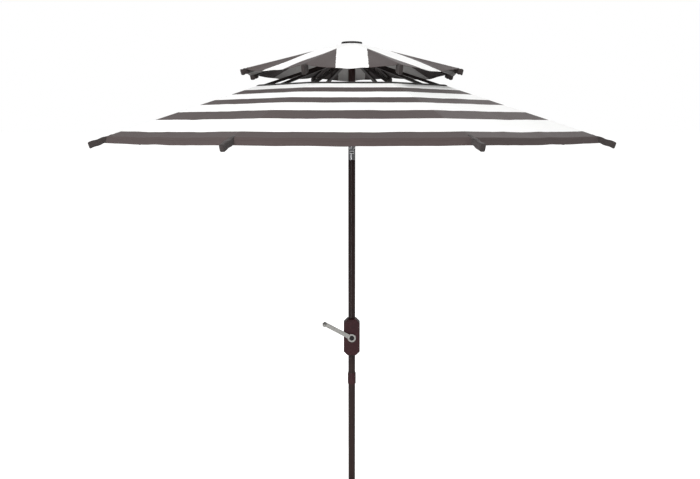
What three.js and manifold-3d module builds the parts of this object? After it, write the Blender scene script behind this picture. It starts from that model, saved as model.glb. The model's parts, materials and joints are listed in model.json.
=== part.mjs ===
// A crank-operated patio umbrella with a vented double top: a two-piece steel pole, a crank and reel
// in a moulded housing, a push-button tilt joint, and eight main ribs with struts, plus eight vent ribs
// that carry the smaller upper canopy. Millimetres, +Z up, origin at the centre of the pole's foot.
// The canopy is modelled open and upright, and the crank faces -Y.
import * as THREE from "three";
import { mergeVertices } from "three/addons/utils/BufferGeometryUtils.js";
import Module from "manifold-3d";

const wasm = await Module();
wasm.setup();
const rad = THREE.MathUtils.degToRad;

// ---------- driving dimensions ----------
const gap = 0.3; // between pieces that touch
const runningGap = 0.6; // between pieces that slide or turn
const ribCount = 8;

const poleRadius = 19;
const poleWall = 1.5;
const poleSides = 24;
const hubSides = 32;
const pinSides = 8;
const footFlange = 5;
const footSpigot = 30;
const poleSplit = 658; // height where the lower and middle poles meet
const joinerHalf = 95;
const collarHalf = 31.5;
const collarWall = 3.4;
const snapDrop = 52; // snap button below the split
const snapRadius = 4;

const housingZ = 896;
const housingHeight = 199;
const housingWidth = 88;
const housingFront = 46;
const housingRear = 30;
const housingWall = 3;
const housingChamfer = 20;
const crankDrop = 1; // crank axis below the housing's middle
const drumRadius = 12;
const drumFlange = 17;
const spindleRadius = 5;
const crankHubRadius = 22.5;
const crankReach = 168;
const crankArmWidth = 24;
const crankArmThick = 5;
const crankAngle = rad(152); // of the arm from +X towards +Z
const knobRadius = 10.5;
const knobLength = 34;

const hubZ = 2384; // main rib pivots
const pivotOut = 19; // rib and strut pivots outside the pole's surface
const ribSlope = rad(18.45);
const ribWidth = 16;
const ribDepth = 14;
const ribWall = 1.2;
const ribLift = 8; // underside of a main rib above its pivot line
const strutLength = 620; // also the strut bracket's place along the rib
const strutWidth = 8;
const strutDepth = 12;
const strutWall = 1;
const pinRadius = 2.5;
const foldedRib = rad(86.5); // main rib below the horizontal when folded

const ventRise = 79.5; // vent rib pivots above the main ones
const ventPivotOut = 27;
const ventSlope = rad(14.9);
const ventWidth = 10;
const ventDepth = 10;
const ventLift = 3;
const ventWall = 1;
const ventPinRadius = 2;
const foldedVent = rad(80);
const linkStation = 240; // vent link's pivot along the main rib
const linkThick = 3;
const linkWidth = 9;

const clothThick = 1.2;
const clothGap = 2; // cloth above a rib, at the hip
const tipRadius = 1372;
const hemSetback = 80; // hem's crest inside the rib tip
const hemSag = 4;
const skirtDrop = 30; // the hem hangs below its crest by this much
const skirtOut = 7;
const ventOpening = 513; // hip radius of the main canopy's opening
const upperTip = 610;
const upperSetback = 15;
const upperSag = 20;
const flatMargin = 4; // the flat top beyond the vent hub
const upperHole = 9;
const capRadius = 55;
const capHeight = 11;

const cordRadius = 1.5;
const fallClear = 1; // the cord's fall outside the pole
const pulleyWidth = 7.5;
const axleRadius = 2;
const runnerUp = 24;
const runnerDown = 40;
const tiltDrop = 39; // tilt pivot below the runner
const tiltRadius = 13; // of the tongue and the ears
const tiltSlack = 1.5;

// ---------- derived places ----------
const innerRadius = poleRadius - poleWall;
const pivotRadius = poleRadius + pivotOut;
const runnerZ = hubZ - 2 * strutLength * Math.sin(ribSlope);
const tiltZ = runnerZ - runnerDown - tiltDrop;
const socketTop = tiltZ - tiltRadius - tiltSlack;
const socketBottom = tiltZ - 49;
const shoulderZ = tiltZ + tiltRadius + tiltSlack;
const knuckleTop = shoulderZ + 38;
const crankZ = housingZ - crankDrop;
const ventZ = hubZ + ventRise;
const ventPivotRadius = poleRadius + ventPivotOut;
const cordY = 2 * cordRadius + 3.5; // the cord rises behind the tilt pin
const pulleyRadius = (poleRadius + fallClear + cordRadius - cordY) / 2; // to the cord's middle
const pulleyY = cordY + pulleyRadius;
const pulleyZ = hubZ + 34;
const ventHubBottom = ventZ - 7;
const ventHubTop = ventZ + 12;
const poleTop = ventHubBottom - gap;
const ribMiddle = ribLift + ribDepth / 2;
const ribLength =
  (tipRadius - pivotRadius - ribMiddle * Math.sin(ribSlope)) / Math.cos(ribSlope);
const ventMiddle = ventLift + ventDepth / 2;
const linkLift = ventMiddle - 1.5; // vent link's pivot above the vent rib's pivot line
const ventLength =
  (upperTip - ventPivotRadius - ventMiddle * Math.sin(ventSlope)) / Math.cos(ventSlope);

// ---------- materials ----------
const finish = (color, metalness, roughness) => ({ color, metalness, roughness });
const finishes = {
  powderCoat: finish(0x352a28, 0.5, 0.42),
  housingPlastic: finish(0x3c1e22, 0, 0.45),
  blackPlastic: finish(0x1c1a1a, 0, 0.5),
  darkSteel: finish(0x26201f, 0.6, 0.4),
  brightSteel: finish(0xc8c8c6, 1, 0.22),
  chrome: finish(0xd8d8d8, 1, 0.1),
  greyPlastic: finish(0x6b6b6c, 0, 0.4),
  cloth: finish(0x5c5150, 0, 0.95),
  cord: finish(0x2a2726, 0, 0.9),
};

// ---------- solids ----------
function solidOf(geometry) {
  const bare = geometry.index ? geometry.toNonIndexed() : geometry.clone();
  bare.deleteAttribute("normal");
  bare.deleteAttribute("uv");
  const merged = mergeVertices(bare, 1e-4);
  return new wasm.Manifold(
    new wasm.Mesh({
      numProp: 3,
      vertProperties: new Float32Array(merged.attributes.position.array),
      triVerts: new Uint32Array(merged.index.array),
    }),
  );
}

function geometryOf(solid) {
  const mesh = solid.getMesh();
  const geometry = new THREE.BufferGeometry();
  geometry.setAttribute("position", new THREE.BufferAttribute(mesh.vertProperties, 3));
  geometry.setIndex(new THREE.BufferAttribute(mesh.triVerts, 1));
  return geometry;
}

const joined = (first, ...rest) =>
  geometryOf(rest.reduce((sum, piece) => sum.add(solidOf(piece)), solidOf(first)));
const cut = (body, ...tools) =>
  geometryOf(tools.reduce((left, tool) => left.subtract(solidOf(tool)), solidOf(body)));
const common = (first, second) => geometryOf(solidOf(first).intersect(solidOf(second)));

// A solid of revolution about Z. The profile of [radius, height] runs anticlockwise.
function turned(profile, sides = poleSides) {
  const points = profile.map(([r, z]) => new THREE.Vector2(r, z));
  return new THREE.LatheGeometry(points, sides).rotateX(Math.PI / 2);
}

const tube = (outer, inner, low, high, sides) =>
  turned([[inner, low], [outer, low], [outer, high], [inner, high], [inner, low]], sides);
const disc = (radius, low, high, sides) =>
  turned([[0, low], [radius, low], [radius, high], [0, high]], sides);

function block(x0, x1, y0, y1, z0, z1) {
  return new THREE.BoxGeometry(x1 - x0, y1 - y0, z1 - z0).translate(
    (x0 + x1) / 2, (y0 + y1) / 2, (z0 + z1) / 2,
  );
}

// A round rod from one point to another.
function rod(from, to, radius, sides = 12) {
  const start = new THREE.Vector3(...from);
  const along = new THREE.Vector3(...to).sub(start);
  const turn = new THREE.Quaternion().setFromUnitVectors(
    new THREE.Vector3(0, 1, 0), along.clone().normalize(),
  );
  return new THREE.CylinderGeometry(radius, radius, along.length(), sides)
    .applyQuaternion(turn)
    .translate(...start.addScaledVector(along, 0.5));
}

// A plate whose outline lies in the XZ plane, from y0 to y1.
function plate(shape, y0, y1, arcSteps = 6) {
  const settings = { depth: y1 - y0, bevelEnabled: false, curveSegments: arcSteps };
  return new THREE.ExtrudeGeometry(shape, settings)
    .rotateX(Math.PI / 2)
    .translate(0, y1, 0);
}

function outline(points) {
  return new THREE.Shape(points.map(([x, z]) => new THREE.Vector2(x, z)));
}

// An outline with two round ends, from one point to another in the XZ plane.
function bar(x0, z0, x1, z1, radius) {
  const heading = Math.atan2(z1 - z0, x1 - x0);
  const shape = new THREE.Shape();
  shape.absarc(x1, z1, radius, heading - Math.PI / 2, heading + Math.PI / 2, false);
  shape.absarc(x0, z0, radius, heading + Math.PI / 2, heading + (3 * Math.PI) / 2, false);
  return shape;
}

// A rectangular hollow section along X, open at both ends.
function hollowBar(x0, x1, width, low, high, wall) {
  return cut(
    block(x0, x1, -width / 2, width / 2, low, high),
    block(x0 - 1, x1 + 1, wall - width / 2, width / 2 - wall, low + wall, high - wall),
  );
}

const azimuth = (k) => ((k + 0.5) * 2 * Math.PI) / ribCount;
const everyRib = (make) => Array.from({ length: ribCount }, (_, k) => make(k));

const umbrella = new THREE.Group();
function add(name, geometry, look, parent = umbrella) {
  const mesh = new THREE.Mesh(geometry, new THREE.MeshStandardMaterial(finishes[look]));
  mesh.name = name;
  parent.add(mesh);
  return mesh;
}

// ---------- pole ----------
const snapZ = poleSplit - snapDrop;
const snapHole = rod([0, innerRadius / 2, snapZ], [0, poleRadius + 3, snapZ], snapRadius + gap);
const joinerRadius = innerRadius - gap;
const joinerBore = joinerRadius - poleWall;

add(
  "foot_plug",
  turned([
    [0, 0], [poleRadius, 0], [poleRadius, footFlange], [joinerRadius, footFlange],
    [joinerRadius, footFlange + footSpigot], [joinerBore - 1, footFlange + footSpigot],
    [joinerBore - 1, footFlange], [0, footFlange],
  ]),
  "blackPlastic",
);
add(
  "lower_pole",
  cut(tube(poleRadius, innerRadius, footFlange + gap, poleSplit - gap, poleSides), snapHole),
  "powderCoat",
);
add(
  "pole_joiner",
  cut(
    tube(joinerRadius, joinerBore, poleSplit - joinerHalf, poleSplit + joinerHalf, poleSides),
    snapHole,
  ),
  "darkSteel",
);
add(
  "snap_button",
  turned(
    [[0, 0], [snapRadius + 2, 0], [snapRadius + 2, 1.5], [snapRadius, 1.5],
      [snapRadius, poleRadius - 9], [snapRadius - 1.5, poleRadius - 7.5], [0, poleRadius - 7]],
    16,
  )
    .rotateX(-Math.PI / 2)
    .translate(0, joinerBore - 5, snapZ),
  "brightSteel",
);
add(
  "pole_collar",
  turned([
    [poleRadius + gap, poleSplit - collarHalf],
    [poleRadius + collarWall - 1, poleSplit - collarHalf],
    [poleRadius + collarWall, poleSplit - collarHalf + 2],
    [poleRadius + collarWall, poleSplit + collarHalf - 2],
    [poleRadius + collarWall - 1, poleSplit + collarHalf],
    [poleRadius + gap, poleSplit + collarHalf],
    [poleRadius + gap, poleSplit - collarHalf],
  ]),
  "housingPlastic",
);
const cordSlot = block(-11, 6, -poleRadius - 2, 0, crankZ + 38, crankZ + 84);
add(
  "middle_pole",
  cut(tube(poleRadius, innerRadius, poleSplit, socketBottom - gap, poleSides), cordSlot),
  "powderCoat",
);

// ---------- crank housing and reel ----------
const housingLow = housingZ - housingHeight / 2;
const housingHigh = housingZ + housingHeight / 2;
const spindleHole = rod([0, -housingFront - 9, crankZ], [0, 0, crankZ], spindleRadius + gap, 20);

// The housing's outline, an upright rectangle with cut corners, set in by a margin.
function housingOutline(margin) {
  const x = housingWidth / 2 - margin;
  const low = housingLow + margin;
  const high = housingHigh - margin;
  const c = housingChamfer - margin * 0.4;
  return outline([
    [x, low + c], [x, high - c], [x - c, high], [c - x, high],
    [-x, high - c], [-x, low + c], [c - x, low], [x - c, low],
  ]);
}

// One half of the housing, from the parting plane out to a depth, with four screw posts.
function housingHalf(side, depth) {
  const edge = 2.5;
  const shell = new THREE.ExtrudeGeometry(housingOutline(edge), {
    depth: 2 * (depth - edge), bevelThickness: edge, bevelSize: edge, bevelSegments: 1,
  })
    .rotateX(Math.PI / 2)
    .translate(0, depth - edge, 0);
  const keep = side < 0 ? [-depth - 1, -gap / 2] : [gap / 2, depth + 1];
  const pocket = plate(housingOutline(housingWall), housingWall - depth, depth - housingWall);
  const half = common(
    cut(shell, pocket, disc(poleRadius + gap, housingLow - 1, housingHigh + 1)),
    block(-housingWidth, housingWidth, ...keep, housingLow - 1, housingHigh + 1),
  );
  const posts = [-1, 1].flatMap((x) =>
    [-1, 1].map((z) => {
      const at = [x * (housingWidth / 2 - 9), housingZ + z * (housingHeight / 2 - 27)];
      return rod([at[0], side * gap, at[1]], [at[0], side * (depth - 1), at[1]], 4);
    }),
  );
  return joined(half, ...posts);
}

add("crank_housing_front", cut(housingHalf(-1, housingFront), spindleHole), "housingPlastic");
add("crank_housing_rear", housingHalf(1, housingRear), "housingPlastic");

// Pieces on the crank's axis are turned about Z, then laid along -Y: height becomes distance
// in front of the pole's axis.
const onCrank = (geometry) => geometry.rotateX(Math.PI / 2).translate(0, 0, crankZ);
const drumBack = poleRadius + 3;
const drumFront = housingFront - housingWall - 3;
const hubBack = housingFront + 1;
const hubFront = hubBack + 11;
const armBack = hubFront - crankArmThick;

add(
  "reel_spindle",
  onCrank(
    turned(
      [[0, poleRadius + 1], [spindleRadius, poleRadius + 1], [spindleRadius, drumBack],
        [drumFlange, drumBack], [drumFlange, drumBack + 2], [drumRadius, drumBack + 2],
        [drumRadius, drumFront - 2], [drumFlange, drumFront - 2], [drumFlange, drumFront],
        [spindleRadius, drumFront], [spindleRadius, hubFront], [0, hubFront]],
      28,
    ),
  ),
  "darkSteel",
);
add(
  "cord_winding",
  onCrank(
    tube(drumRadius + 2 * cordRadius, drumRadius + gap, drumBack + 2 + gap, drumFront - 2 - gap, 28),
  ),
  "cord",
);
const armEnd = [crankReach * Math.cos(crankAngle), crankReach * Math.sin(crankAngle)];
const armDirection = [Math.cos(crankAngle), Math.sin(crankAngle)];
add(
  "crank_arm",
  cut(
    joined(
      onCrank(disc(crankHubRadius, hubBack, hubFront, 32)),
      plate(
        bar(armDirection[0] * 10, armDirection[1] * 10, ...armEnd, crankArmWidth / 2),
        -hubFront, -armBack, 8,
      ).translate(0, 0, crankZ),
    ),
    rod([0, -hubFront - 5, crankZ], [0, 0, crankZ], spindleRadius + gap, 20),
    rod(
      [armEnd[0], -hubFront - 5, crankZ + armEnd[1]], [armEnd[0], 0, crankZ + armEnd[1]],
      4 + gap, 16,
    ),
  ),
  "brightSteel",
);
add("crank_cap", onCrank(turned([
  [0, hubFront + gap], [13, hubFront + gap], [13, hubFront + 3], [11, hubFront + 5],
  [0, hubFront + 5],
], 28)), "blackPlastic");
add(
  "crank_knob",
  onCrank(
    turned(
      [[0, armBack - 3], [6, armBack - 3], [6, armBack - gap], [4, armBack - gap],
        [4, hubFront + gap], [knobRadius - 3, hubFront + gap], [knobRadius, hubFront + 6],
        [knobRadius, hubFront + knobLength - 4], [knobRadius - 4, hubFront + knobLength],
        [0, hubFront + knobLength]],
      24,
    ),
  ).translate(armEnd[0], 0, armEnd[1]),
  "brightSteel",
);

// ---------- tilt joint ----------
const spigotRadius = innerRadius - gap;
const tiltBore = 10;
const tongueHalf = tiltBore + 0.4;
const earHalf = tongueHalf + runningGap;
const tiltPinRadius = 3.5;
const tiltPinHole = rod(
  [-poleRadius - 2, 0, tiltZ], [poleRadius + 2, 0, tiltZ], tiltPinRadius + gap, 16,
);
const tiltCylinder = (low, high) => disc(poleRadius + 0.2, low, high);
// A round-ended lug about the tilt pivot, reaching down or up to a level.
const lug = (x0, x1, level) =>
  joined(
    rod([x0, 0, tiltZ], [x1, 0, tiltZ], tiltRadius, 24),
    block(x0, x1, -tiltRadius, tiltRadius, Math.min(level, tiltZ), Math.max(level, tiltZ)),
  );
const buttonTurn = -Math.PI / 4; // the tilt button faces between +X and -Y
const buttonZ = socketBottom + 20;
const buttonPocket = block(
  tiltBore - 2, poleRadius + 3, -4.5 - gap, 4.5 + gap, buttonZ - 12 - gap, buttonZ + 12 + gap,
).rotateZ(buttonTurn);
const ears = [[-poleRadius - 1, -earHalf], [earHalf, poleRadius + 1]].map(([x0, x1]) =>
  common(lug(x0, x1, socketTop - 3), tiltCylinder(socketTop - 3, tiltZ + tiltRadius + 1)),
);
add(
  "tilt_socket",
  cut(
    joined(
      tube(poleRadius + 0.2, tiltBore, socketBottom, socketTop, poleSides),
      tube(spigotRadius, tiltBore, socketBottom - 34, socketBottom + 1, poleSides),
      ...ears,
    ),
    tiltPinHole,
    buttonPocket,
  ),
  "chrome",
);
add(
  "tilt_knuckle",
  cut(
    joined(
      common(lug(-tongueHalf, tongueHalf, shoulderZ + 3), tiltCylinder(tiltZ - 20, shoulderZ + 3)),
      tube(poleRadius + 0.2, tiltBore, shoulderZ, knuckleTop, poleSides),
      tube(spigotRadius, tiltBore, knuckleTop - 1, knuckleTop + 34, poleSides),
    ),
    tiltPinHole,
    rod([0, cordY, tiltZ - 20], [0, cordY, shoulderZ + 5], cordRadius + 0.8, 10),
  ),
  "chrome",
);
add(
  "tilt_pin",
  rod([0.4 - poleRadius, 0, tiltZ], [poleRadius - 0.4, 0, tiltZ], tiltPinRadius, 16),
  "brightSteel",
);
add(
  "tilt_button",
  common(
    block(tiltBore + 2, poleRadius + 1, -4.5, 4.5, buttonZ - 12, buttonZ + 12).rotateZ(buttonTurn),
    tiltCylinder(buttonZ - 13, buttonZ + 13),
  ),
  "greyPlastic",
);

// ---------- top pole, hubs and runner ----------
const pulleySlot = block(
  -pulleyWidth / 2 - 1.5, pulleyWidth / 2 + 1.5, 0, poleRadius + 3,
  pulleyZ - pulleyRadius - 5, pulleyZ + pulleyRadius + 5,
);
const axleHole = rod(
  [-poleRadius, pulleyY, pulleyZ], [poleRadius, pulleyY, pulleyZ], axleRadius + gap,
);
add(
  "top_pole",
  cut(tube(poleRadius, innerRadius, knuckleTop + gap, poleTop, poleSides), pulleySlot, axleHole),
  "powderCoat",
);
const axleHalf = Math.sqrt(poleRadius ** 2 - pulleyY ** 2) - 0.5;
const grooveRadius = pulleyRadius - cordRadius - gap;
add(
  "pulley",
  turned(
    [[0, -axleHalf], [axleRadius, -axleHalf], [axleRadius, -pulleyWidth / 2],
      [pulleyRadius + 1.5, -pulleyWidth / 2], [grooveRadius, -1.8], [grooveRadius, 1.8],
      [pulleyRadius + 1.5, pulleyWidth / 2], [axleRadius, pulleyWidth / 2],
      [axleRadius, axleHalf], [0, axleHalf]],
    24,
  )
    .rotateY(Math.PI / 2)
    .translate(0, pulleyY, pulleyZ),
  "greyPlastic",
);

// Slots in a hub or runner flange, one for each rib, wide enough for an eye to turn in.
const slots = (from, to, width, low, high) =>
  everyRib((k) => block(from, to, -width / 2, width / 2, low, high).rotateZ(azimuth(k)));
const pins = (radius, half, at, z) =>
  everyRib((k) => rod([at, -half, z], [at, half, z], radius, pinSides).rotateZ(azimuth(k)));
const cordNotch = block(
  -cordRadius - 1, cordRadius + 1, poleRadius - 1, pulleyY + pulleyRadius + cordRadius + 1,
  hubZ - 40, hubZ + 40,
);
const flangeRadius = pivotRadius + 8;
const eyeSlot = strutWidth + 2 * 0.4;
const bossRadius = poleRadius + 8;

add(
  "main_hub",
  joined(
    cut(
      turned([
        [poleRadius + gap, hubZ - 22], [bossRadius - 2, hubZ - 22], [bossRadius, hubZ - 20],
        [bossRadius, hubZ - 8], [flangeRadius, hubZ - 8], [flangeRadius, hubZ + 8],
        [bossRadius, hubZ + 8], [bossRadius, hubZ + 16], [bossRadius - 2, hubZ + 18],
        [poleRadius + gap, hubZ + 18], [poleRadius + gap, hubZ - 22],
      ], hubSides),
      ...slots(bossRadius + 0.8, flangeRadius + 2, eyeSlot, hubZ - 10, hubZ + 10),
      cordNotch,
    ),
    ...pins(pinRadius, eyeSlot / 2 + 1.6, pivotRadius, hubZ),
  ),
  "blackPlastic",
);
add(
  "runner",
  cut(
    turned([
      [poleRadius + runningGap, runnerZ - runnerDown],
      [poleRadius + 4, runnerZ - runnerDown], [poleRadius + 6, runnerZ - runnerDown + 5],
      [poleRadius + 6, runnerZ - 9], [flangeRadius, runnerZ - 9], [flangeRadius, runnerZ + 9],
      [poleRadius + 6, runnerZ + 9], [poleRadius + 4, runnerZ + runnerUp],
      [poleRadius + runningGap, runnerZ + runnerUp],
      [poleRadius + runningGap, runnerZ - runnerDown],
    ], hubSides),
    ...slots(poleRadius + 7.5, flangeRadius + 2, eyeSlot, runnerZ - 11, runnerZ + 11),
  ),
  "blackPlastic",
);
const ventFlange = ventPivotRadius + 6.5;
const ventSlot = ventWidth * 0.6 + 2 * 0.4;
add(
  "vent_hub",
  joined(
    cut(
      turned([
        [6, ventHubBottom - 26], [spigotRadius, ventHubBottom - 26],
        [spigotRadius, ventHubBottom], [ventFlange, ventHubBottom],
        [ventFlange, ventHubTop], [6, ventHubTop], [6, ventHubBottom - 26],
      ], hubSides),
      ...slots(ventPivotRadius - 7.5, ventFlange + 2, ventSlot, ventHubBottom - 2, ventHubTop + 2),
      block(-8, 8, 0, spigotRadius + 1, ventHubBottom - 30, ventHubBottom - 4),
    ),
    ...pins(ventPinRadius, ventSlot / 2 + 1.6, ventPivotRadius, ventZ),
  ),
  "blackPlastic",
);
const capSeat = ventHubTop + 2 * gap + clothThick;
add(
  "finial_cap",
  turned([
    [0, ventHubBottom + 2], [5.7, ventHubBottom + 2], [5.7, capSeat], [capRadius - 1, capSeat],
    [capRadius, capSeat + 1.5], [capRadius, capSeat + capHeight - 3],
    [capRadius - 4, capSeat + capHeight - 0.7], [0, capSeat + capHeight],
  ], hubSides),
  "blackPlastic",
);

// ---------- lift cord ----------
function cordAlong(points, steps) {
  const path = new THREE.CatmullRomCurve3(points.map((p) => new THREE.Vector3(...p)));
  const section = new THREE.Shape();
  section.absarc(0, 0, cordRadius, 0, 2 * Math.PI, false);
  return new THREE.ExtrudeGeometry(section, {
    steps, curveSegments: 4, bevelEnabled: false, extrudePath: path,
  });
}

const windingRadius = drumRadius + 3 * cordRadius + gap;
const cordOut = -(drumBack + drumFront) / 2;
const riserStart = crankZ + 120;
add(
  "lift_cord_lower",
  joined(
    cordAlong(
      [
        [-windingRadius, cordOut, crankZ + 2], [-windingRadius, cordOut, crankZ + 18],
        [-windingRadius + 4, cordOut + 4, crankZ + 38], [-4, -16, crankZ + 60],
        [0, -2, crankZ + 78], [0, cordY, crankZ + 104], [0, cordY, riserStart],
      ],
      20,
    ),
    rod([0, cordY, riserStart - 1], [0, cordY, socketTop - 4], cordRadius, 8),
  ),
  "cord",
);
const overPulley = Array.from({ length: 9 }, (_, i) => {
  const turn = (i * Math.PI) / 8;
  return [0, pulleyY - pulleyRadius * Math.cos(turn), pulleyZ + pulleyRadius * Math.sin(turn)];
});
add(
  "lift_cord_upper",
  joined(
    cordAlong(
      [[0, cordY, pulleyZ - 6], ...overPulley, [0, pulleyY + pulleyRadius, pulleyZ - 6]],
      20,
    ),
    rod([0, cordY, tiltZ + 12], [0, cordY, pulleyZ - 5], cordRadius, 8),
  ),
  "cord",
);
add(
  "lift_cord_fall",
  rod(
    [0, pulleyY + pulleyRadius, pulleyZ - 6 - gap],
    [0, pulleyY + pulleyRadius, runnerZ + runnerUp + gap],
    cordRadius,
    8,
  ),
  "cord",
);

// ---------- ribs, struts and links ----------
// Each rib lies along +X from its pivot, with +Z square to it on the canopy's side.
function ribSolid() {
  const top = ribLift + ribDepth;
  const half = ribWidth / 2;
  const eye = cut(
    joined(
      rod([0, -strutWidth / 2, 0], [0, strutWidth / 2, 0], 7, 12),
      plate(
        outline([[-2, -6], [6, -6], [26, ribLift], [26, top], [15, top], [-5, 4]]),
        -strutWidth / 2, strutWidth / 2,
      ),
    ),
    rod([0, -half, 0], [0, half, 0], pinRadius + 0.4, pinSides),
  );
  const cheek = outline([
    [strutLength - 12, ribLift + 0.6], [strutLength - 7, -3], [strutLength - 3, -6],
    [strutLength + 3, -6], [strutLength + 7, -3], [strutLength + 12, ribLift + 0.6],
  ]);
  const cheekIn = strutWidth / 2 + 0.6;
  return joined(
    hollowBar(14, ribLength, ribWidth, ribLift, top, ribWall),
    eye,
    block(ribLength - 10, ribLength, -half, half, ribLift, top),
    plate(cheek, cheekIn, cheekIn + 3),
    plate(cheek, -cheekIn - 3, -cheekIn),
    rod([strutLength, -cheekIn - 3, 0], [strutLength, cheekIn + 3, 0], pinRadius, pinSides),
    rod([linkStation, half - 1, ribMiddle], [linkStation, half + linkThick + 1.4, ribMiddle],
      pinRadius, pinSides),
  );
}

function strutSolid() {
  const half = strutWidth / 2;
  const end = (x, inward) =>
    cut(
      joined(
        rod([x, -half, 0], [x, half, 0], 6, 10),
        block(Math.min(x, x + inward), Math.max(x, x + inward), -half, half, -3.5, 3.5),
      ),
      rod([x, -half - 1, 0], [x, half + 1, 0], pinRadius + 0.4, pinSides),
    );
  return joined(
    hollowBar(14, strutLength - 14, strutWidth, -strutDepth / 2, strutDepth / 2, strutWall),
    end(0, 28),
    end(strutLength, -28),
  );
}

function ventRibSolid(linkAt) {
  const top = ventLift + ventDepth;
  const half = ventWidth / 2;
  const eyeHalf = ventWidth * 0.3;
  const eye = cut(
    joined(
      rod([0, -eyeHalf, 0], [0, eyeHalf, 0], 5.5, 10),
      plate(outline([[-1, -5], [5, -5], [22, ventLift], [22, top], [13, top], [-3, 4]]),
        -eyeHalf, eyeHalf),
    ),
    rod([0, -half, 0], [0, half, 0], ventPinRadius + 0.4, pinSides),
  );
  return joined(
    hollowBar(12, ventLength, ventWidth, ventLift, top, ventWall),
    eye,
    block(ventLength - 8, ventLength, -half, half, ventLift, top),
    rod([linkAt, half - 0.5, linkLift], [linkAt, ribWidth / 2, linkLift], pinRadius, pinSides),
  );
}

// A point at a distance along a rib and a height above its pivot line, for a rib that falls away
// from its pivot at an angle below the horizontal, as [radius, height] in the rib's plane.
const onRib = (pivot, fall, along, above) => [
  pivot[0] + along * Math.cos(fall) + above * Math.sin(fall),
  pivot[1] - along * Math.sin(fall) + above * Math.cos(fall),
];

// The vent link keeps one length, open and folded, so its place on the vent rib follows from its
// place on the main rib: the squared distance is linear in that place, and both poses must agree.
const mainPivot = [pivotRadius, hubZ];
const ventPivot = [ventPivotRadius, ventZ];
function linkPlace() {
  const poses = [[ribSlope, ventSlope], [foldedRib, foldedVent]].map(([rib, vent]) => {
    const [r, z] = onRib(mainPivot, rib, linkStation, ribMiddle);
    const from = [r - ventPivot[0], z - ventPivot[1]];
    const along = [Math.cos(vent), -Math.sin(vent)];
    const across = [Math.sin(vent) * linkLift, Math.cos(vent) * linkLift];
    const dot = (a, b) => a[0] * b[0] + a[1] * b[1];
    return { constant: dot(from, from) - 2 * dot(from, across), slope: -2 * dot(from, along) };
  });
  return (poses[1].constant - poses[0].constant) / (poses[0].slope - poses[1].slope);
}
const linkOnVent = linkPlace();
const linkFoot = onRib(mainPivot, ribSlope, linkStation, ribMiddle);
const linkHead = onRib(ventPivot, ventSlope, linkOnVent, linkLift);

const ribGeometry = ribSolid();
const strutGeometry = strutSolid();
const ventRibGeometry = ventRibSolid(linkOnVent);
const linkY = ribWidth / 2 + 0.6;
const linkGeometry = cut(
  plate(bar(...linkFoot, ...linkHead, linkWidth / 2), linkY, linkY + linkThick, 4),
  ...[linkFoot, linkHead].map(([x, z]) =>
    rod([x, linkY - 1, z], [x, linkY + 5, z], pinRadius + 0.4, pinSides),
  ),
);

everyRib((k) => {
  const plane = new THREE.Group();
  plane.rotation.z = azimuth(k);
  umbrella.add(plane);
  const placed = (name, geometry, look, pivot, fall) => {
    const mesh = add(name + "_" + (k + 1), geometry, look, plane);
    mesh.position.set(pivot[0], 0, pivot[1]);
    mesh.rotation.y = fall;
  };
  placed("main_rib", ribGeometry, "darkSteel", mainPivot, ribSlope);
  placed("strut", strutGeometry, "darkSteel", [pivotRadius, runnerZ], -ribSlope);
  placed("vent_rib", ventRibGeometry, "darkSteel", ventPivot, ventSlope);
  placed("vent_link", linkGeometry, "darkSteel", [0, 0], 0);
});

// ---------- canopies ----------
// A closed skin of cloth from rings of [hip radius, height at the hip, sag midway, inset], inner
// ring first. Each ring has a corner over every rib and a point halfway along each side, let down
// by the sag. The underside is one cloth thickness lower, and drawn in by the inset where the
// cloth hangs steeply.
function clothSolid(rings) {
  const around = 2 * ribCount;
  const positions = [];
  for (const drop of [0, clothThick]) {
    for (const [hip, height, sag, inset = 0] of rings) {
      for (let i = 0; i < around; i++) {
        const onHip = i % 2 === 0;
        const corner = drop ? hip - inset : hip;
        const radius = onHip ? corner : corner * Math.cos(Math.PI / ribCount);
        const angle = azimuth(0) + (i * Math.PI) / ribCount;
        positions.push(
          radius * Math.cos(angle),
          radius * Math.sin(angle),
          height - drop - (onHip ? 0 : sag),
        );
      }
    }
  }
  const at = (side, ring, i) => (side * rings.length + ring) * around + (i % around);
  const indices = [];
  const quad = (a, b, c, d) => indices.push(a, b, c, a, c, d);
  const last = rings.length - 1;
  for (let i = 0; i < around; i++) {
    for (let j = 0; j < last; j++) {
      quad(at(0, j, i), at(0, j + 1, i), at(0, j + 1, i + 1), at(0, j, i + 1));
      quad(at(1, j, i), at(1, j, i + 1), at(1, j + 1, i + 1), at(1, j + 1, i));
    }
    quad(at(0, 0, i), at(0, 0, i + 1), at(1, 0, i + 1), at(1, 0, i));
    quad(at(0, last, i), at(1, last, i), at(1, last, i + 1), at(0, last, i + 1));
  }
  const geometry = new THREE.BufferGeometry();
  geometry.setAttribute("position", new THREE.Float32BufferAttribute(positions, 3));
  geometry.setIndex(indices);
  return geometry;
}

// Height of the cloth's top at the hip, over a rib whose own top is at a height above its pivot line.
const hipHeight = (pivot, fall, ribTop, radius) =>
  pivot[1] - (radius - pivot[0]) * Math.tan(fall) + (ribTop + clothGap + clothThick) / Math.cos(fall);
const ribTop = ribLift + ribDepth;
const mainHip = (radius) => hipHeight(mainPivot, ribSlope, ribTop, radius);
const ventHip = (radius) => hipHeight(ventPivot, ventSlope, ventLift + ventDepth, radius);
const hemRadius = tipRadius - hemSetback;
const bellyRadius = ventOpening + 0.6 * (hemRadius - ventOpening);
const upperHem = upperTip - upperSetback;
const upperFlat = ventFlange + flatMargin;
const flatHeight = ventHubTop + gap + clothThick;

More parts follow.
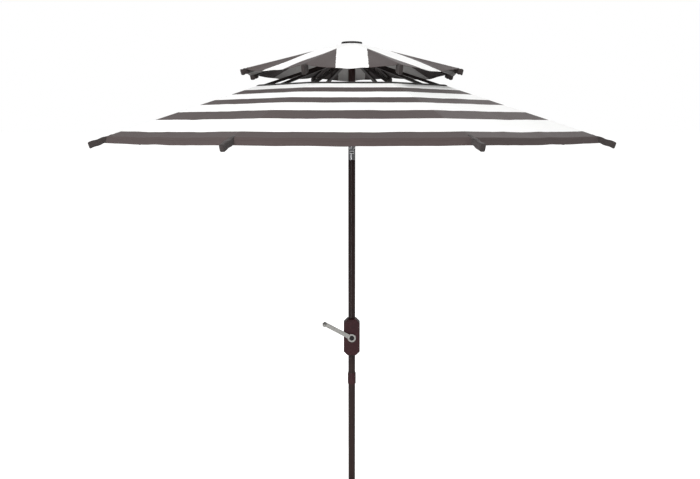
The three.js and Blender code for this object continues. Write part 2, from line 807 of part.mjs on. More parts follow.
// The hanging hem is notched at each rib, which runs on through it to its pocket.
const notchHalf = ribWidth / 2 + 1;
const notch = block(
  (hemRadius - 60) / Math.cos(ribSlope), ribLength + 20, -notchHalf, notchHalf, -60, ribTop + gap,
)
  .rotateY(ribSlope)
  .translate(mainPivot[0], 0, mainPivot[1]);
add(
  "main_canopy",
  cut(
    clothSolid([
      [ventOpening, mainHip(ventOpening), 0],
      [bellyRadius, mainHip(bellyRadius), hemSag * 0.36],
      [hemRadius, mainHip(hemRadius), hemSag, clothThick],
      [hemRadius + skirtOut, mainHip(hemRadius) - skirtDrop, hemSag, clothThick],
    ]),
    ...everyRib((k) => notch.clone().rotateZ(azimuth(k))),
  ),
  "cloth",
);
add(
  "upper_canopy",
  clothSolid([
    [upperHole, flatHeight, 0],
    [upperFlat, flatHeight, 0],
    [upperHem, ventHip(upperHem), upperSag],
  ]),
  "cloth",
);

export default umbrella;
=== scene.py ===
import json
import math

import bmesh
import bpy
import numpy as np
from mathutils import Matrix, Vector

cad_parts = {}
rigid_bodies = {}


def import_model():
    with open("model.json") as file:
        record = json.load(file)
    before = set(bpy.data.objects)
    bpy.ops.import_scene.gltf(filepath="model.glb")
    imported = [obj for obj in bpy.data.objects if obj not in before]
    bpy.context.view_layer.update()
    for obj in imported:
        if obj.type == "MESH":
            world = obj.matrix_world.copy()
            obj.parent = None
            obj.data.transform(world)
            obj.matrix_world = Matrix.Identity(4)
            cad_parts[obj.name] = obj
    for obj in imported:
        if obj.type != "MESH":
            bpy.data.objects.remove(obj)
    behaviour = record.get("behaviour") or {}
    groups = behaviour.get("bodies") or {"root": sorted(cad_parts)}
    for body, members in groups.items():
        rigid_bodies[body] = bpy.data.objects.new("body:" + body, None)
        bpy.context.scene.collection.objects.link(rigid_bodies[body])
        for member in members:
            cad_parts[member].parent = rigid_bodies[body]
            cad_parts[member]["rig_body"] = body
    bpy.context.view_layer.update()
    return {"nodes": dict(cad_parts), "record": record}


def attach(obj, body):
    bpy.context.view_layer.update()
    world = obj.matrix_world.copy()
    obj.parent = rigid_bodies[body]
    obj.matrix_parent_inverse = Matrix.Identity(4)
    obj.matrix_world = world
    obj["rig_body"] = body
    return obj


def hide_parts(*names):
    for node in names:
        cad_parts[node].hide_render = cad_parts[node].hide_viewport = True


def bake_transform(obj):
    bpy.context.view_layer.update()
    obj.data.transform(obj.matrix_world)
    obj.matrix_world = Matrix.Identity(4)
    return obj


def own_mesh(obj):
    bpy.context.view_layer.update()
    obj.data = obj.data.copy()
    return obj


# A crank patio umbrella with a vented double top, open and upright. Metres, +Z up, the pole's foot at
# the origin and the crank towards -Y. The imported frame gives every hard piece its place; the cloth,
# its pockets and bindings, the stitching and the small fasteners are made here.

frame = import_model()

# ---------- camera and light ----------
camera_data = bpy.data.cameras.new("camera")
camera_data.lens = 47.06
camera_data.sensor_width = 36
camera = bpy.data.objects.new("camera", camera_data)
camera.location = (-0.0097, -4.953, 2.018)
camera.rotation_euler = (math.radians(90 - 6.763), 0, 0)
bpy.context.scene.collection.objects.link(camera)
bpy.context.scene.camera = camera
bpy.context.scene.view_settings.view_transform = "Standard"


def linear(colour):
    """An sRGB hex colour as linear red, green, blue and 1."""
    parts = [int(colour[i:i + 2], 16) / 255 for i in (1, 3, 5)]
    return [c / 12.92 if c <= 0.04045 else ((c + 0.055) / 1.055) ** 2.4 for c in parts] + [1]


def node(tree, kind, inputs=(), stops=(), **settings):
    """Adds a node: settings are its properties, inputs its sockets' values or what is linked into
    them, a socket or a node's first output, and stops the places and colours of a colour ramp."""
    made = tree.nodes.new(kind)
    for name, value in settings.items():
        setattr(made, name, value)
    for name, value in dict(inputs).items():
        if isinstance(value, bpy.types.Node):
            value = value.outputs[0]
        if isinstance(value, bpy.types.NodeSocket):
            tree.links.new(value, made.inputs[name])
        else:
            made.inputs[name].default_value = value
    for i, (place, colour) in enumerate(stops):
        elements = made.color_ramp.elements
        stop = elements[i] if i < 2 else elements.new(place)
        stop.position = place
        stop.color = linear(colour)
    return made


def softbox(name, place, aim, width, height, power):
    """A rectangular area light at a place, turned to face a point."""
    data = bpy.data.lights.new(name, "AREA")
    data.shape = "RECTANGLE"
    data.size, data.size_y, data.energy = width, height, power
    light = bpy.data.objects.new(name, data)
    light.location = place
    heading = Vector(aim) - Vector(place)
    light.rotation_euler = heading.to_track_quat("-Z", "Y").to_euler()
    bpy.context.scene.collection.objects.link(light)


# A key light from the upper left, a weaker fill from the right, a narrow strip that draws the highlight
# down the pole, and a light from behind for the far side of the canopy.
softbox("key_light", (-2.6, -4.4, 5.2), (0, 0, 2.1), 2.6, 2.6, 300)
softbox("fill_light", (4.2, -3.6, 3.4), (0, 0, 1.9), 1.8, 2.6, 90)
softbox("pole_strip", (-1.4, -3.8, 1.1), (0, 0, 1.1), 0.3, 2.2, 26)
softbox("back_light", (1.5, 5.0, 4.8), (0, 0, 2.1), 3.0, 2.0, 90)

# A white backdrop all round. It is seen at full white and gives a third of that as light, as a lit
# paper roll far behind a stage does.
BACKDROP_LIGHT = 0.34
world = bpy.data.worlds.new("studio")
world.use_nodes = True
backdrop = world.node_tree.nodes["Background"]
backdrop.inputs["Color"].default_value = linear("#FFFFFF")
seen = node(world.node_tree, "ShaderNodeLightPath").outputs["Is Camera Ray"]
level = node(world.node_tree, "ShaderNodeMapRange", {"Value": seen, "To Min": BACKDROP_LIGHT, "To Max": 1.0})
world.node_tree.links.new(level.outputs["Result"], backdrop.inputs["Strength"])
bpy.context.scene.world = world

# ---------- sizes shared with the frame ----------
MM = 0.001
RIBS = 8
HALF = math.pi / RIBS
# Pivots as radius and height, and the slopes of the open ribs below the horizontal.
MAIN_PIVOT, MAIN_SLOPE = (0.038, 2.384), math.radians(18.45)
VENT_PIVOT, VENT_SLOPE = (0.046, 2.4635), math.radians(14.9)
# Radii over the ribs, from the middle out.
TIP, HEM, OPENING = 1.372, 1.292, 0.513
UPPER_TIP, UPPER_HEM, FLAT, HOLE = 0.610, 0.595, 0.0565, 0.009
SKIRT_OUT, SKIRT_DROP = 0.007, 0.030  # how far the hanging hem goes out and down from its crest
CLOTH_OVER_MAIN, CLOTH_OVER_VENT = 25.2 * MM, 16.2 * MM  # cloth's top square above the pivot lines
FLAT_TOP = 2.4770
CLOTH = 0.8 * MM
RIB_MIDDLE, VENT_RIB_MIDDLE = 15 * MM, 8 * MM  # heights of the rib sections' middles over the pivots
FRONT = (5, 6)  # the two ribs on the crank's side, whose small pockets hang slacker
STRUT_STATION = 0.620
CHEEK_OUT = 7.6 * MM  # outer face of a strut bracket's cheek from the rib's middle
HOUSING_Z, HOUSING_BACK = 0.896, 0.030
CORD_RADIUS = 1.5 * MM
RUNNER_Z = 1.99157
FALL_Y, FALL_TOP, FALL_FOOT = 21.5 * MM, 2.4117, RUNNER_Z + 24.3 * MM  # cord from pulley to runner


def azimuth(k):
    """The direction of rib k about the pole; the ribs lie half a step off the X axis."""
    return (k + 0.5) * 2 * HALF


def along_rib(pivot, slope, station, above):
    """Radius and height of a point on a rib: the pivot, a station down the slope, a height square to it."""
    return (
        pivot[0] + station * math.cos(slope) + above * math.sin(slope),
        pivot[1] - station * math.sin(slope) + above * math.cos(slope),
    )


# ---------- materials ----------
def coat(name, base, **sockets):
    """A new material with its shader: the base colour and any other sockets that are even all over."""
    made = bpy.data.materials.new(name)
    made.use_nodes = True
    shader = made.node_tree.nodes["Principled BSDF"]
    shader.inputs["Base Color"].default_value = linear(base)
    for socket, value in sockets.items():
        shader.inputs[socket.replace("_", " ")].default_value = value
    return made, made.node_tree, shader


def mottled(tree, shader, dark, light, spacing, rough, bump_spacing, bump_height, stretch=(1, 1, 1)):
    """Colour drifts between two tones over one distance, roughness with it, and a finer grain is
    raised as bump; both patterns lie in Object coordinates, in metres."""
    place = node(tree, "ShaderNodeTexCoord").outputs["Object"]
    place = node(tree, "ShaderNodeMapping", {"Vector": place, "Scale": stretch}).outputs["Vector"]
    drift = node(tree, "ShaderNodeTexNoise",
                 {"Vector": place, "Scale": 1 / spacing, "Detail": 4, "Roughness": 0.6})
    tone = node(tree, "ShaderNodeValToRGB", {"Fac": drift.outputs["Fac"]},
                stops=[(0.3, dark), (0.7, light)])
    tree.links.new(tone.outputs["Color"], shader.inputs["Base Color"])
    gloss = node(tree, "ShaderNodeMapRange",
                 {"Value": drift.outputs["Fac"], "From Min": 0.3, "From Max": 0.7,
                  "To Min": rough[0], "To Max": rough[1]})
    tree.links.new(gloss.outputs["Result"], shader.inputs["Roughness"])
    grain = node(tree, "ShaderNodeTexNoise",
                 {"Vector": place, "Scale": 1 / bump_spacing, "Detail": 2, "Roughness": 0.5})
    relief = node(tree, "ShaderNodeBump",
                  {"Height": grain.outputs["Fac"], "Distance": bump_height, "Strength": 0.6})
    tree.links.new(relief.outputs["Normal"], shader.inputs["Normal"])


# Polyester powder coat baked on steel tube: a dark brown skin with a soft orange-peel ripple, so the
# highlight runs down the tube with a slightly broken edge.
powder_coat, tree, shader = coat("powder_coated_steel_tube", "#1E1311", Specular_IOR_Level=0.22)
mottled(tree, shader, "#211312", "#2B1B19", 60 * MM, (0.26, 0.34), 2.2 * MM, 0.06 * MM)

# The same brown-black coat on the thin rolled rib channels, darker and a little rougher than the pole's.
rib_coat, tree, shader = coat("powder_coated_rib_steel", "#150D0C", Specular_IOR_Level=0.2)
mottled(tree, shader, "#110A09", "#1A1110", 45 * MM, (0.36, 0.46), 1.6 * MM, 0.05 * MM)

# Injection-moulded polypropylene, dyed reddish brown, from a spark-eroded tool: an even fine grain
# that breaks the highlight into a satin sheen.
housing_plastic, tree, shader = coat("moulded_polypropylene_brown", "#321518", Specular_IOR_Level=0.22)
mottled(tree, shader, "#2C1115", "#38191D", 40 * MM, (0.36, 0.44), 0.9 * MM, 0.09 * MM)

# Glass-filled nylon, moulded black: dull, with a faint swirl where the fibres come to the surface.
black_nylon, tree, shader = coat("moulded_nylon_black", "#120F0F", Specular_IOR_Level=0.25)
mottled(tree, shader, "#120F0F", "#1E1919", 18 * MM, (0.42, 0.54), 0.8 * MM, 0.06 * MM)

# Nickel-plated pressed steel, buffed by hand: a grey mirror broken by fine level scratches.
bright_steel, tree, shader = coat("nickel_plated_steel", "#A1A09D", Metallic=1)
mottled(tree, shader, "#949390", "#AEADAA", 30 * MM, (0.14, 0.24), 0.7 * MM, 0.02 * MM, (1, 1, 8))

# Chromium plate over die-cast zinc: near mirror, with a slow waviness that bends the reflections.
chrome, tree, shader = coat("chromium_plated_zinc", "#8E8E90", Metallic=1)
mottled(tree, shader, "#848487", "#98989A", 22 * MM, (0.1, 0.15), 30 * MM, 0.004 * MM)

# ABS moulded grey for the push button and the pulley: smooth, softly glossy.
grey_plastic, tree, shader = coat("moulded_abs_grey", "#6B6B6C", IOR=1.54)
mottled(tree, shader, "#636364", "#747475", 12 * MM, (0.3, 0.38), 0.8 * MM, 0.04 * MM)

# Zinc-plated steel for the reel, rivets and screws: a cool grey metal, blotched where the plating dulls.
zinc, tree, shader = coat("zinc_plated_steel", "#A5A6A4", Metallic=1)
mottled(tree, shader, "#8F908F", "#B5B6B4", 5 * MM, (0.26, 0.4), 0.6 * MM, 0.02 * MM)


def braid():
    """Braided polyester lift cord, dyed black-brown: strands cross in a diamond 2 mm long, drawn
    coarser than the real 1 mm so that they show, and dull all over."""
    made, tree, shader = coat("braided_polyester_cord", "#2A2726", Roughness=0.85, Sheen_Weight=0.3)
    place = node(tree, "ShaderNodeTexCoord").outputs["Object"]
    strands = []
    for turn in (math.radians(35), math.radians(-35)):
        slanted = node(tree, "ShaderNodeMapping", {"Vector": place, "Rotation": (turn, 0, turn)})
        strands.append(node(tree, "ShaderNodeTexWave",
                            {"Vector": slanted, "Scale": 1 / (2 * MM) / (2 * math.pi) * 3,
                             "Distortion": 0.4}, bands_direction="Z").outputs["Fac"])
    crossed = node(tree, "ShaderNodeMath", {0: strands[0], 1: strands[1]}, operation="MAXIMUM")
    tone = node(tree, "ShaderNodeValToRGB", {"Fac": crossed}, stops=[(0.2, "#171413"), (0.9, "#353130")])
    relief = node(tree, "ShaderNodeBump", {"Height": crossed, "Distance": 0.3 * MM})
    tree.links.new(tone.outputs["Color"], shader.inputs["Base Color"])
    tree.links.new(relief.outputs["Normal"], shader.inputs["Normal"])
    return made


cord_braid = braid()

# Places of the colour changes on the main canopy, as hip radius over tip radius, from the opening out.
RING_EDGES = [0.435, 0.485, 0.547, 0.6035, 0.683, 0.767, 0.888]
WHITE, BROWN = "#FBFBFA", "#493F3E"
# Darker, duller copies of the white and brown for the under faces: painted shade.
UNDER_WHITE_PAINTED_SHADE, UNDER_BROWN_PAINTED_SHADE = "#7E7C7B", "#241B1B"
STITCH_SHADE = "#D2CFCD"
STRIPE = 145 * MM  # white stripe down the middle of each upper panel
THREAD = 1.1 * MM  # cloth thread spacing, drawn twice as coarse as the real 0.5 mm so that it shows
STITCH = 4 * MM
WAVE_LENGTHS = math.pi / 10  # a wave texture's scale for one wave in each unit of distance


def ring_stripes(tree, ring, drift):
    """1 where the main canopy is white: the colour changes at each ring edge, white first, and the
    edges wander by a millimetre or two with the drift."""
    measured = node(tree, "ShaderNodeMath", {0: drift, 1: 3 * MM, 2: ring}, operation="MULTIPLY_ADD")
    passed = 0
    for edge in RING_EDGES:
        beyond = node(tree, "ShaderNodeMath", {0: measured, 1: edge * TIP}, operation="GREATER_THAN")
        passed = node(tree, "ShaderNodeMath", {0: passed, 1: beyond}, operation="ADD")
    odd = node(tree, "ShaderNodeMath", {0: passed, 1: 2}, operation="MODULO")
    return node(tree, "ShaderNodeMath", {0: odd, 1: 0.5}, operation="LESS_THAN")


def panel_stripe(tree, drift):
    """1 where the upper canopy is white: within half a stripe of its panel's middle, the edge
    wandering by a few millimetres with the drift."""
    middle = node(tree, "ShaderNodeAttribute", attribute_name="from_middle").outputs["Fac"]
    measured = node(tree, "ShaderNodeMath", {0: drift, 1: 9 * MM, 2: middle}, operation="MULTIPLY_ADD")
    return node(tree, "ShaderNodeMath", {0: measured, 1: STRIPE / 2}, operation="LESS_THAN")


def stitching(tree, across, ring, hem):
    """1 on the thread of three broken rows of stitches: 6 mm to each side of the hip seam, and along
    the hem 20 mm above its edge."""
    from_hip = node(tree, "ShaderNodeMath", {0: across}, operation="ABSOLUTE")
    sewn = 0
    for place, line, run in ((from_hip, 6 * MM, ring), (ring, hem - 20 * MM, across)):
        offset = node(tree, "ShaderNodeMath", {0: place, 1: line}, operation="SUBTRACT")
        offset = node(tree, "ShaderNodeMath", {0: offset}, operation="ABSOLUTE")
        on_line = node(tree, "ShaderNodeMath", {0: offset, 1: 0.7 * MM}, operation="LESS_THAN")
        turns = node(tree, "ShaderNodeMath", {0: run, 1: 2 * math.pi / STITCH}, operation="MULTIPLY")
        turns = node(tree, "ShaderNodeMath", {0: turns}, operation="SINE")
        dash = node(tree, "ShaderNodeMath", {0: turns, 1: -0.3}, operation="GREATER_THAN")
        row = node(tree, "ShaderNodeMath", {0: on_line, 1: dash}, operation="MULTIPLY")
        sewn = node(tree, "ShaderNodeMath", {0: sewn, 1: row}, operation="MAXIMUM")
    return sewn


def cloth(name, white, brown, upper, hem):
    """Solution-dyed woven polyester. The colour comes from the ring coordinate on the main canopy and
    from the distance to the panel's middle on the upper one. Two crossing thread waves are raised as
    bump and shade the colour, thicker slub threads run along the weft, and broken lines of stitching
    follow the hem and both sides of each hip seam. The cloth is matt with a little fuzz."""
    made, tree, shader = coat(name, brown, Roughness=0.88, Specular_IOR_Level=0.25,
                              Sheen_Weight=0.12, Sheen_Roughness=0.5)
    uv = node(tree, "ShaderNodeUVMap", uv_map="cloth").outputs["UV"]
    split = node(tree, "ShaderNodeSeparateXYZ", {"Vector": uv})
    across, ring = split.outputs["X"], split.outputs["Y"]
    wander = node(tree, "ShaderNodeTexNoise", {"Vector": uv, "Scale": 1 / (35 * MM), "Detail": 2})
    drift = node(tree, "ShaderNodeMath", {0: wander.outputs["Fac"], 1: 0.5}, operation="SUBTRACT")
    is_white = panel_stripe(tree, drift) if upper else ring_stripes(tree, ring, drift)
    dye = node(tree, "ShaderNodeMix", {"Factor": is_white, "A": linear(brown), "B": linear(white)},
               data_type="RGBA")

    threads = [
        node(tree, "ShaderNodeTexWave",
             {"Vector": uv, "Scale": WAVE_LENGTHS / THREAD, "Distortion": 0.6, "Detail": 1,
              "Detail Scale": 2}, bands_direction=direction).outputs["Fac"]
        for direction in ("X", "Y")
    ]
    weave = node(tree, "ShaderNodeMath", {0: threads[0], 1: threads[1]}, operation="MULTIPLY")
    along_weft = node(tree, "ShaderNodeMapping", {"Vector": uv, "Scale": (12, 400, 1)})
    slub = node(tree, "ShaderNodeTexNoise", {"Vector": along_weft, "Scale": 1, "Detail": 3})
    shade = node(tree, "ShaderNodeMath", {0: weave, 1: 0.05, 2: 0.94}, operation="MULTIPLY_ADD")
    shade = node(tree, "ShaderNodeMath", {0: slub.outputs["Fac"], 1: 0.05, 2: shade},
                 operation="MULTIPLY_ADD")
    woven = node(tree, "ShaderNodeMix", {"Factor": 1, "A": dye.outputs["Result"], "B": shade},
                 data_type="RGBA", blend_type="MULTIPLY")

    sewn = stitching(tree, across, ring, hem)
    stitched = node(tree, "ShaderNodeMix",
                    {"Factor": sewn, "A": woven.outputs["Result"], "B": linear(STITCH_SHADE)},
                    data_type="RGBA", blend_type="MULTIPLY")
    tree.links.new(stitched.outputs["Result"], shader.inputs["Base Color"])
    raised = node(tree, "ShaderNodeMath", {0: weave, 1: 0.5}, operation="MULTIPLY")
    height = node(tree, "ShaderNodeMath", {0: sewn, 1: 1.2, 2: raised}, operation="MULTIPLY_ADD")
    relief = node(tree, "ShaderNodeBump", {"Height": height, "Distance": 0.25 * MM, "Strength": 0.7})
    tree.links.new(relief.outputs["Normal"], shader.inputs["Normal"])
    return made


# Outer faces: solution-dyed polyester in white and warm brown. Under faces: the same stripes in darker,
# duller copies of both colours, painted shade for the canopy's shaded underside.
hem_run = HEM + SKIRT_DROP
main_cloth = cloth("striped_woven_polyester", WHITE, BROWN, False, hem_run)
main_under_painted_shade = cloth("striped_polyester_back_painted_shade", UNDER_WHITE_PAINTED_SHADE, UNDER_BROWN_PAINTED_SHADE, False, hem_run)
upper_cloth = cloth("vent_striped_woven_polyester", WHITE, BROWN, True, UPPER_HEM)
upper_under_painted_shade = cloth("vent_striped_polyester_back_painted_shade", UNDER_WHITE_PAINTED_SHADE, UNDER_BROWN_PAINTED_SHADE, True, UPPER_HEM)


def plain_weave(name, tone, spacing):
    """Plain woven polyester of one dye on Object coordinates: crossing threads in relief, fuzzy and matt."""
    made, tree, shader = coat(name, tone, Roughness=0.9, Sheen_Weight=0.15, Sheen_Roughness=0.5)
    place = node(tree, "ShaderNodeTexCoord").outputs["Object"]
    threads = [
        node(tree, "ShaderNodeTexWave",
             {"Vector": place, "Scale": WAVE_LENGTHS / spacing, "Distortion": 0.8},
             bands_direction=direction).outputs["Fac"]
        for direction in ("DIAGONAL", "Z")
    ]
    weave = node(tree, "ShaderNodeMath", {0: threads[0], 1: threads[1]}, operation="MULTIPLY")
    drift = node(tree, "ShaderNodeTexNoise", {"Vector": place, "Scale": 1 / (25 * MM), "Detail": 3})
    shade = node(tree, "ShaderNodeMapRange",
                 {"Value": drift.outputs["Fac"], "From Min": 0.3, "From Max": 0.7,
                  "To Min": 0.88, "To Max": 1.04})
    dye = node(tree, "ShaderNodeMix", {"Factor": 1, "A": linear(tone), "B": shade},
               data_type="RGBA", blend_type="MULTIPLY")
    relief = node(tree, "ShaderNodeBump", {"Height": weave, "Distance": 0.3 * MM, "Strength": 0.7})
    tree.links.new(dye.outputs["Result"], shader.inputs["Base Color"])
    tree.links.new(relief.outputs["Normal"], shader.inputs["Normal"])
    return made


# Brown canopy cloth doubled into the rib-end pockets, in a tone darker than the canopy's brown as painted
# shade, and black polyester binding tape.
pocket_cloth_painted_shade = plain_weave("brown_polyester_pocket_painted_shade", "#2F2827", THREAD)
binding_tape = plain_weave("black_binding_tape", "#1B1817", 1.6 * MM)


# ---------- mesh making ----------
def grid_faces(rows, columns, wrap=False, start=0, turned=False):
    """Quads of a rows x columns grid of points, numbered row by row; wrap joins the last column to
    the first, and turned reverses each quad."""
    i, j = np.meshgrid(np.arange(rows - 1), np.arange(columns if wrap else columns - 1), indexing="ij")
    right = (j + 1) % columns
    quads = np.stack([i * columns + j, i * columns + right,
                      (i + 1) * columns + right, (i + 1) * columns + j], -1).reshape(-1, 4) + start
    return quads[:, ::-1] if turned else quads


def piece(name, points, faces, materials, body, uv=None, values=None, which=None, sharp=35):
    """A finished mesh piece: points and faces as arrays, merged where they meet, facing out by the
    sign of its volume, smooth up to an angle, with its coordinates, riding on a body."""
    mesh = bpy.data.meshes.new(name)
    mesh.from_pydata(np.asarray(points).tolist(), [], [list(map(int, f)) for f in faces])
    for each in materials:
        mesh.materials.append(each)
    if uv is not None:
        layer = mesh.uv_layers.new(name="cloth")
        loops = np.empty(len(mesh.loops), int)
        mesh.loops.foreach_get("vertex_index", loops)
        layer.data.foreach_set("uv", np.asarray(uv, np.float32)[loops].ravel())
    if values is not None:
        attribute = mesh.attributes.new("from_middle", "FLOAT", "POINT")
        attribute.data.foreach_set("value", np.asarray(values, np.float32))
    if which is not None:
        mesh.polygons.foreach_set("material_index", np.asarray(which, np.int32))
    work = bmesh.new()
    work.from_mesh(mesh)
    bmesh.ops.remove_doubles(work, verts=work.verts, dist=1e-6)
    if work.calc_volume(signed=True) < 0:
        bmesh.ops.reverse_faces(work, faces=work.faces)
    work.to_mesh(mesh)
    work.free()
    mesh.polygons.foreach_set("use_smooth", [True] * len(mesh.polygons))
    mesh.set_sharp_from_angle(angle=math.radians(sharp))
    made = bpy.data.objects.new(name, mesh)
    bpy.context.scene.collection.objects.link(made)
    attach(made, body)
    return made


def swept(centres, across, up, sections):
    """A closed skin carried along a path: each point is the path's point, plus the section's first
    number along the across arrow, plus its second along the up arrow. The section closes both ends."""
    centres, across, up = (np.asarray(a, float) for a in (centres, across, up))
    sections = np.broadcast_to(sections, (len(centres),) + np.shape(sections)[-2:])
    points = centres[:, None] + sections[..., :1] * across[:, None] + sections[..., 1:] * up[:, None]
    n, m = points.shape[:2]
    faces = [*grid_faces(n, m, wrap=True), list(range(m))[::-1], list(range((n - 1) * m, n * m))]
    return points.reshape(-1, 3), faces


def oval(half_width, half_height, power, steps):
    """A superellipse: cosine and sine, each raised to 2 / power with its sign kept, times the half sizes."""
    turn = np.linspace(0, 2 * math.pi, steps, endpoint=False)
    c, s = np.cos(turn), np.sin(turn)
    return np.stack([half_width * np.sign(c) * np.abs(c) ** (2 / power),
                     half_height * np.sign(s) * np.abs(s) ** (2 / power)], -1)


def round_z(points, angle):
    """Points turned about the Z axis by an angle."""
    c, s = math.cos(angle), math.sin(angle)
    points = np.asarray(points, float)
    return np.stack([points[..., 0] * c - points[..., 1] * s,
                     points[..., 0] * s + points[..., 1] * c, points[..., 2]], -1)


# ---------- canopy cloth ----------
def ripples(panel, beside, ring, family, amplitude):
    """Slow waves in a panel's cloth: a sum of sines of the distance beside the panel's middle and of
    the ring radius, with phases fixed by the panel's number, so both gores that share it agree."""
    phases = np.random.default_rng(700 + 10 * panel + family).uniform(0, 2 * math.pi, 4)
    waves = [(0.33, 0.62, 1.0), (-0.21, 0.40, 0.6), (0.13, 0.9, 0.35), (-0.09, -0.55, 0.25)]
    total = sum(
        share * np.sin(2 * math.pi * (beside / wide + ring / deep) + phase)
        for (wide, deep, share), phase in zip(waves, phases)
    )
    return amplitude * total


def main_hip(ring):
    """Height of the main canopy over a rib: a straight fall at the rib's slope."""
    return (MAIN_PIVOT[1] - (ring - MAIN_PIVOT[0]) * math.tan(MAIN_SLOPE)
            + CLOTH_OVER_MAIN / math.cos(MAIN_SLOPE))


def upper_hip(ring):
    """Height of the upper canopy over a rib: a straight fall from the flat top to the hem."""
    low = (VENT_PIVOT[1] - (UPPER_HEM - VENT_PIVOT[0]) * math.tan(VENT_SLOPE)
           + CLOTH_OVER_VENT / math.cos(VENT_SLOPE))
    return FLAT_TOP + (ring - FLAT) / (UPPER_HEM - FLAT) * (low - FLAT_TOP)


def gore_top(k, ring, side, hip, sag, family, amplitude, hang):
    """The upper face of one gore, from mid-panel to mid-panel across rib k. side runs from -1 to 1
    across it. Ring radius R and side s give Y = s R sin cos of the half angle, X = R - tan |Y| with the
    crest rounded over 5 mm, and the hip's height less a sag that grows from the rib to mid-panel. Past
    the hem's crest the cloth hangs: height falls by the hang while the radius hardly grows."""
    reach = ring * math.sin(HALF) * math.cos(HALF)
    y = side * reach
    crest = 5 * MM
    x = ring - math.tan(HALF) * (np.abs(y) + crest * np.exp(-np.abs(y) / crest))
    slack = 1 - (1 - np.abs(side)) ** 2
    panel = np.where(side < 0, k - 1, k) % RIBS
    beside = (reach - np.abs(y)) * np.sign(side) * -1
    waves = np.zeros(np.broadcast(ring, side).shape)
    for number in {(k - 1) % RIBS, k}:
        chosen = np.broadcast_to(panel == number, waves.shape)
        waves = np.where(chosen, ripples(number, beside, ring, family, amplitude(ring)), waves)
    z = hip(ring) - (sag(ring) - waves) * slack - hang(ring)
    return np.stack(np.broadcast_arrays(x, y, z), -1), y + 0 * ring, reach - np.abs(y)


def gore(k, rings, sides, hip, sag, family, amplitude, hang, fold):
    """One gore as a thin closed skin: its top face, the same grid a cloth's thickness inside it with
    the hem doubled, and the strips between their edges. The cloth coordinates are metres across from
    the rib and ring radius, which goes on down the hanging hem as distance along the cloth."""
    ring, side = np.asarray(rings)[:, None], np.asarray(sides)[None, :]
    top, across, middle = gore_top(k, ring, side, hip, sag, family, amplitude, hang)
    run = np.concatenate([[0], np.cumsum(np.hypot(np.diff(rings), np.diff(hang(np.asarray(rings)))))])
    run = (rings[0] + run)[:, None]
    deep = np.where(run[-1] - run < fold, 2 * CLOTH, CLOTH) + 0 * side
    lean = np.clip(np.gradient(top[..., 2], axis=0) / -np.gradient(top[..., 0], axis=0), 0, 6)
    size = np.sqrt(1 + lean ** 2)
    under = top - np.stack([deep * lean / size, 0 * deep, deep / size], -1)
    rows, columns = top.shape[:2]
    half = rows * columns
    edge = [i * columns for i in range(rows)], [i * columns + columns - 1 for i in range(rows)]
    loops = [list(range(columns)), edge[1], list(range(half - columns, half))[::-1], edge[0][::-1]]
    outline = [i for part in loops for i in part[:-1]]
    rim = [[a, b, b + half, a + half] for a, b in zip(outline, outline[1:] + outline[:1])]
    skins = [grid_faces(rows, columns, turned=True), grid_faces(rows, columns, start=half)]
    faces = [*skins[0], *skins[1], *rim]
    which = [0] * len(skins[0]) + [1] * len(skins[1]) + [0] * len(rim)
    points = round_z(np.concatenate([top.reshape(-1, 3), under.reshape(-1, 3)]), azimuth(k))
    uv = np.stack([across, run + 0 * side], -1).reshape(-1, 2)
    return points, faces, np.concatenate([uv, uv]), np.tile((middle + 0 * ring).ravel(), 2), which, top


def column_places():
    """Places across a gore, close together at the rib where the crest bends, wider towards mid-panel."""
    half = np.concatenate([[0, 0.006, 0.014, 0.026, 0.045, 0.075], np.linspace(0.12, 1, 16)])
    return np.concatenate([-half[:0:-1], half])


def tape(name, k, edge, inward, body, width, thick, material):
    """Binding tape folded over an edge: an oval section, flat along the cloth, carried along the edge."""
    edge, inward = round_z(edge, azimuth(k)), round_z(inward, azimuth(k))
    run = np.gradient(edge, axis=0)
    inward = inward / np.linalg.norm(inward, axis=1, keepdims=True)
    up = np.cross(inward, run)
    up *= np.sign(up[:, 2:]) / np.linalg.norm(up, axis=1, keepdims=True)
    section = oval(width / 2, thick / 2, 3.2, 14) + np.array([width / 2 - 1.2 * MM, 0])
    points, faces = swept(edge - up * CLOTH / 2, inward, up, section)
    return piece(name, points, faces, [material], body)


def pocket(name, k, pivot, slope, start, end, half_width, low, high, body, flare, seed):
    """A cloth sleeve closed over a rib's end: a squarish oval section carried along the rib, its
    height opening by a flare towards the end, its sides pulled in and out by slow waves, its last
    5 mm rounded off."""
    steps = 34
    station = start + (end - start) * np.linspace(0, 1, steps) ** 0.8
    phases = np.random.default_rng(seed).uniform(0, 2 * math.pi, 3)
    u = (station - start) / (end - start)
    swell = 1 + 0.05 * np.sin(9 * u + phases[0]) + 0.04 * np.sin(23 * u + phases[1])
    closing = np.clip((end - station) / (5 * MM), 0, 1)
    closing = 0.80 + 0.20 * np.sqrt(1 - (1 - closing) ** 2)
    opening = 1 - flare * (1 - u) ** 1.5
    section = oval(1, 1, 5, 36)
    wide = half_width * swell * closing * (0.8 + 0.2 * opening)
    tall = (high - low) / 2 * closing * opening
    middle = high - (high - low) / 2 * opening
    sections = section[None] * np.stack([wide, tall], -1)[:, None]
    sag_line = 1.2 * MM * np.sin(14 * u + phases[2])
    places = np.array([along_rib(pivot, slope, s, m + d) for s, m, d in zip(station, middle, sag_line)])
    centres = round_z(np.stack([places[:, 0], 0 * u, places[:, 1]], -1), azimuth(k))
    across = np.tile(round_z([0, 1, 0], azimuth(k)), (steps, 1))
    up = np.tile(round_z([math.sin(slope), 0, math.cos(slope)], azimuth(k)), (steps, 1))
    points, faces = swept(centres, across, up, sections)
    return piece(name, points, faces, [pocket_cloth_painted_shade], body, sharp=50)


def fold_with_runner(obj):
    """Gives the cloth piece a mesh of its own."""
    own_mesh(obj)


